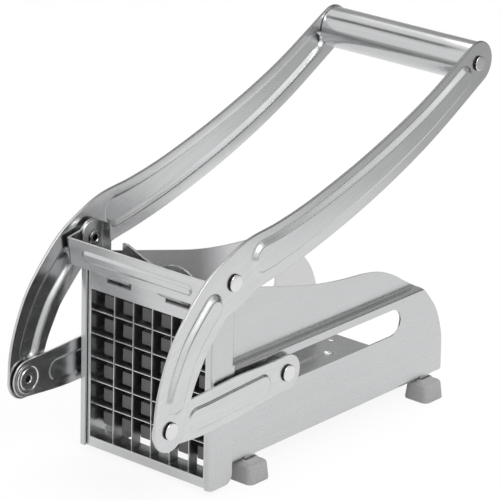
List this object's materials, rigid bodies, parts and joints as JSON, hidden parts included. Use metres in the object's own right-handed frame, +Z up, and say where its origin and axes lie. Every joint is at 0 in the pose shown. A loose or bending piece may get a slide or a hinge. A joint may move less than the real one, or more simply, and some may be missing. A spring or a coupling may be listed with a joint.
{
  "type": "french fry cutter",
  "caption": "Lever-driven potato chipper: a steel trough whose pusher forces a potato through a square blade grid.",
  "frame": {"origin": "on the surface that it stands on, below the centre of the box round the whole object", "axes": "+Y runs from the blade grid towards the grip, +Z is up, and +X points right when looking along +Y"},
  "size_m": [0.1132, 0.2874, 0.2135],
  "materials": {
    "satin_steel": "satin, lightly brushed stainless sheet",
    "bright_steel": "bright turned or pressed steel",
    "blade_steel": "ground stainless strip",
    "black_plastic": "moulded black plastic",
    "grey_rubber": "moulded grey rubber"
  },
  "bodies": {
    "base": {"body_trough": "satin_steel", "front_frame": "satin_steel", "blade_frame": "satin_steel", "vertical_blade_1": "blade_steel", "horizontal_blade_1": "blade_steel", "vertical_blade_2": "blade_steel", "horizontal_blade_2": "blade_steel", "vertical_blade_3": "blade_steel", "horizontal_blade_3": "blade_steel", "vertical_blade_4": "blade_steel", "horizontal_blade_4": "blade_steel", "vertical_blade_5": "blade_steel", "horizontal_blade_5": "blade_steel", "front_left_foot": "grey_rubber", "front_right_foot": "grey_rubber", "rear_left_foot": "grey_rubber", "rear_right_foot": "grey_rubber", "left_pivot_rivet": "bright_steel", "left_pivot_washer": "bright_steel", "right_pivot_rivet": "bright_steel", "right_pivot_washer": "bright_steel"},
    "handle": {"grip_tube": "satin_steel", "left_arm": "satin_steel", "left_grip_plug": "grey_rubber", "left_grip_rivet": "bright_steel", "left_arm_rivet": "bright_steel", "right_arm": "satin_steel", "right_grip_plug": "grey_rubber", "right_grip_rivet": "bright_steel", "right_arm_rivet": "bright_steel"},
    "pusher": {"pusher_block": "black_plastic", "pusher_plate": "satin_steel", "pusher_carriage": "satin_steel", "pusher_screw_1": "bright_steel", "pusher_screw_2": "bright_steel", "pusher_screw_3": "bright_steel", "pusher_screw_4": "bright_steel", "left_link_pin": "bright_steel", "left_slot_bush": "bright_steel", "right_link_pin": "bright_steel", "right_slot_bush": "bright_steel"},
    "lock": {"blade_lock": "satin_steel"},
    "left_link": {"left_link": "satin_steel", "left_link_eyelet": "bright_steel"},
    "right_link": {"right_link": "satin_steel", "right_link_eyelet": "bright_steel"}
  },
  "joints": [
    {"name": "handle_pivot", "type": "hinge", "parent": "base", "child": "handle", "pos_m": [0, -0.08154, 0.1242], "axis": [1, 0, 0], "range_deg": [-2.5, 67.5]},
    {"name": "pusher_slide", "type": "slide", "parent": "base", "child": "pusher", "axis": [0, 1, 0], "range_m": [-0.0037, 0.0958]},
    {"name": "left_link_pivot", "type": "hinge", "parent": "pusher", "child": "left_link", "pos_m": [0, -0.0296, 0.0565], "axis": [1, 0, 0], "range_deg": [-0.1, 1.8]},
    {"name": "right_link_pivot", "type": "hinge", "parent": "pusher", "child": "right_link", "pos_m": [0, -0.0296, 0.0565], "axis": [1, 0, 0], "range_deg": [-0.1, 1.8]},
    {"name": "blade_lock_pivot", "type": "hinge", "parent": "base", "child": "lock", "pos_m": [0, -0.08154, 0.1242], "axis": [1, 0, 0], "range_deg": [-100, 0]}
  ],
  "couplings": [
    {"joint": "pusher_slide", "follows": "handle_pivot", "m_per_rad": 0.0813},
    {"joint": "left_link_pivot", "follows": "handle_pivot", "ratio": 0.0244},
    {"joint": "right_link_pivot", "follows": "handle_pivot", "ratio": 0.0244}
  ]
}
